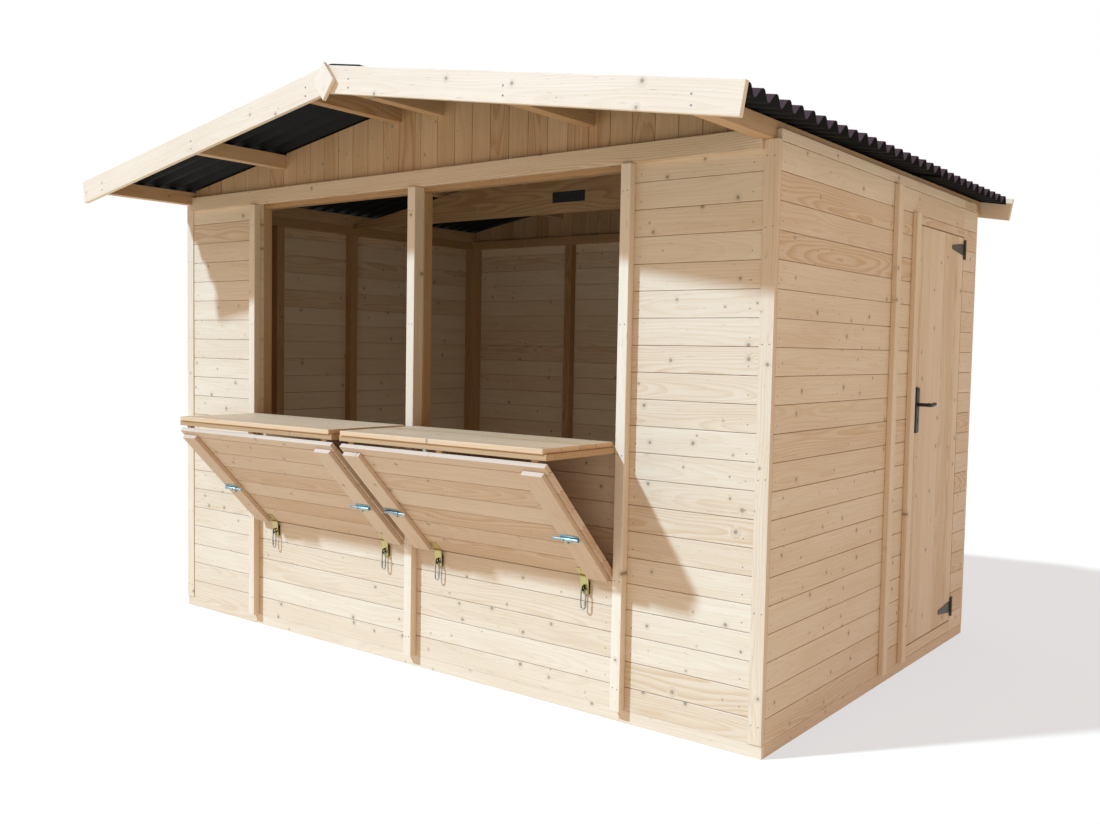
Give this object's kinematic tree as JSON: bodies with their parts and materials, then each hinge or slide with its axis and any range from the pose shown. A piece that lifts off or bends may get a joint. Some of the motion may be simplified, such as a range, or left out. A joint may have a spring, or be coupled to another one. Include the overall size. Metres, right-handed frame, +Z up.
{
  "type": "wooden market stall",
  "caption": "Boarded timber market stall with serving windows, counters on fold-down shutters, a side door and a corrugated gable roof.",
  "frame": {"origin": "on the ground, in the middle of the area that the roof covers", "axes": "+X to the right as a customer sees the front, +Y from the front to the back, +Z up"},
  "size_m": [3.24, 2.568, 2.222],
  "materials": {
    "pine_board": "planed, untreated",
    "pale_pine": "planed, untreated",
    "frame_timber": "sawn",
    "bitumen_sheet": "matte, fibre grain",
    "black_steel": "powder coated",
    "zinc": "zinc plated",
    "yellow_zinc": "yellow passivated"
  },
  "bodies": {
    "stall": {"front_wall_left": "pine_board", "front_wall_right": "pine_board", "front_wall_low": "pine_board", "front_gable": "pine_board", "rear_wall": "pine_board", "rear_gable": "pine_board", "left_wall": "pine_board", "right_wall_front": "pine_board", "right_wall_over_door": "pine_board", "right_wall_rear": "pine_board", "front_frame": "frame_timber", "rear_frame": "frame_timber", "left_frame": "frame_timber", "right_frame": "frame_timber", "corner_boards": "pine_board", "front_trims": "pale_pine", "side_trims": "pine_board", "top_bands": "pine_board", "skirting_boards": "pine_board", "door_hinge_plates": "black_steel", "eave_purlins": "pine_board", "middle_purlins": "pine_board", "ridge_purlins": "pine_board", "roof_sheet_left": "bitumen_sheet", "roof_sheet_right": "bitumen_sheet", "ridge_cap": "bitumen_sheet", "barge_boards_left": "pale_pine", "barge_boards_right": "pale_pine", "finials": "pale_pine", "truss": "frame_timber", "truss_plate": "black_steel", "counter_left": "pale_pine", "counter_right": "pale_pine", "counter_rails": "pine_board", "shutter_left": "pine_board", "shutter_right": "pine_board", "shutter_battens": "pine_board", "shutter_bolts": "zinc", "hasps": "yellow_zinc", "hasp_staples": "yellow_zinc", "snap_hooks": "zinc"},
    "door": {"door_leaf": "pine_board", "door_hinge_straps": "black_steel", "lock_plates": "black_steel"},
    "lever": {"door_lever": "black_steel"}
  },
  "joints": [
    {"name": "door_hinge", "type": "hinge", "parent": "stall", "child": "door", "pos_m": [1.506, 0.9695, 0.92], "axis": [0, 0, 1], "range_deg": [0, 110]},
    {"name": "lever_pivot", "type": "hinge", "parent": "door", "child": "lever", "pos_m": [1.5, 0.444, 1.052], "axis": [-1, 0, 0], "range_deg": [0, 40], "stiffness_Nm_per_rad": 1, "springref_deg": -34.38}
  ]
}
